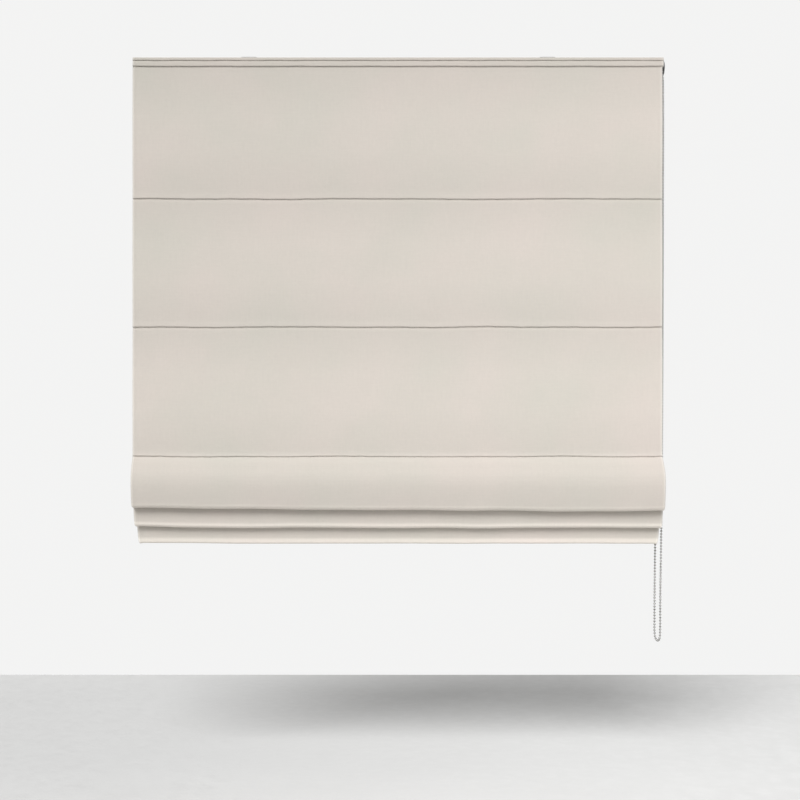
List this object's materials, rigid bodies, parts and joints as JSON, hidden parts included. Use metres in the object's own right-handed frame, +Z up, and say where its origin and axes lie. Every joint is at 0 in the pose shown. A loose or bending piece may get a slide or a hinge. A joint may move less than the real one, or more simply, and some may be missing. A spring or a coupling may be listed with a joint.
{
  "type": "roman blind",
  "caption": "Roman blind in plain cloth, part raised into soft folds at the bottom, with rod pockets, a slim headrail and a looped bead chain at one side.",
  "frame": {"origin": "middle of the plane that the two head brackets are screwed to, which is the top of the blind", "axes": "+X to the right along the headrail, towards the chain; +Y to the window; +Z up. The front of the cloth faces -Y."},
  "size_m": [1.0665, 0.0712, 1.177],
  "materials": {
    "rail_aluminium": "anodised satin extrusion",
    "bracket_steel": "zinc plated pressed steel",
    "shaft_steel": "drawn steel",
    "grey_plastic": "moulded, fine spark texture",
    "white_plastic": "moulded acetal",
    "clear_plastic": "moulded, milky",
    "soft_cap": "soft vinyl",
    "pocket_tape": "woven polyester tape",
    "glass_fibre": "pultruded rod",
    "face_cloth": "warm light grey plain weave",
    "lining_cloth": "ivory sateen lining",
    "fastening_tape": "hook and loop tape",
    "braided_cord": "braided polyester",
    "chain_metal": "nickel plated beads"
  },
  "bodies": {
    "head": {"bead_chain": "chain_metal", "chain_connector": "clear_plastic", "chain_guard": "grey_plastic", "clutch_spindle": "shaft_steel", "control_housing": "grey_plastic", "cord_cassette_left": "white_plastic", "cord_cassette_middle": "white_plastic", "cord_cassette_right": "white_plastic", "face_fabric": "face_cloth", "head_bracket_left": "bracket_steel", "head_bracket_right": "bracket_steel", "headrail": "rail_aluminium", "hook_tape": "fastening_tape", "idle_end_cap": "grey_plastic", "lever_rivets": "bracket_steel", "lift_cord_left": "braided_cord", "lift_cord_middle": "braided_cord", "lift_cord_right": "braided_cord", "lining": "lining_cloth", "loop_tape": "fastening_tape"},
    "stack": {"cord_connectors": "clear_plastic", "bottom_bar": "rail_aluminium", "bottom_bar_caps": "soft_cap", "rod_3": "glass_fibre", "rod_3_pocket": "pocket_tape", "rod_3_caps": "soft_cap", "rod_3_rings": "clear_plastic", "rod_4": "glass_fibre", "rod_4_pocket": "pocket_tape", "rod_4_caps": "soft_cap", "rod_4_rings": "clear_plastic", "rod_5": "glass_fibre", "rod_5_pocket": "pocket_tape", "rod_5_caps": "soft_cap", "rod_5_rings": "clear_plastic"},
    "rod_1_body": {"rod_1": "glass_fibre", "rod_1_pocket": "pocket_tape", "rod_1_caps": "soft_cap", "rod_1_rings": "clear_plastic"},
    "rod_2_body": {"rod_2": "glass_fibre", "rod_2_pocket": "pocket_tape", "rod_2_caps": "soft_cap", "rod_2_rings": "clear_plastic"},
    "drive": {"drive_shaft": "shaft_steel", "chain_wheel": "white_plastic", "wrap_spring": "shaft_steel", "cord_spool_left": "white_plastic", "cord_spool_middle": "white_plastic", "cord_spool_right": "white_plastic"},
    "lever_left": {"release_lever_left": "grey_plastic"},
    "lever_right": {"release_lever_right": "grey_plastic"}
  },
  "joints": [
    {"name": "lift", "type": "slide", "parent": "head", "child": "stack", "axis": [0, 0, 1], "range_m": [0, 0.7029], "deforming": ["face_fabric", "lining", "lift_cord_left", "lift_cord_middle", "lift_cord_right"]},
    {"name": "rod_1_lift", "type": "slide", "parent": "head", "child": "rod_1_body", "axis": [0, 0, 1], "range_m": [0, 0.239], "deforming": ["face_fabric", "lining", "lift_cord_left", "lift_cord_middle", "lift_cord_right"]},
    {"name": "rod_2_lift", "type": "slide", "parent": "head", "child": "rod_2_body", "axis": [0, 0, 1], "range_m": [0, 0.4712], "deforming": ["face_fabric", "lining", "lift_cord_left", "lift_cord_middle", "lift_cord_right"]},
    {"name": "drive_turn", "type": "hinge", "parent": "head", "child": "drive", "pos_m": [0, 0, -0.0215], "axis": [1, 0, 0], "range_deg": [-6104, 0]},
    {"name": "lever_left_turn", "type": "hinge", "parent": "head", "child": "lever_left", "pos_m": [-0.3, 0.0035, 0], "axis": [0, 0, 1], "range_deg": [0, 90]},
    {"name": "lever_right_turn", "type": "hinge", "parent": "head", "child": "lever_right", "pos_m": [0.3, 0.0035, 0], "axis": [0, 0, 1], "range_deg": [0, 90]}
  ],
  "couplings": [
    {"joint": "rod_1_lift", "follows": "lift", "ratio": 0.33931},
    {"joint": "rod_2_lift", "follows": "lift", "ratio": 0.66965},
    {"joint": "drive_turn", "follows": "lift", "rad_per_m": -151.52}
  ]
}
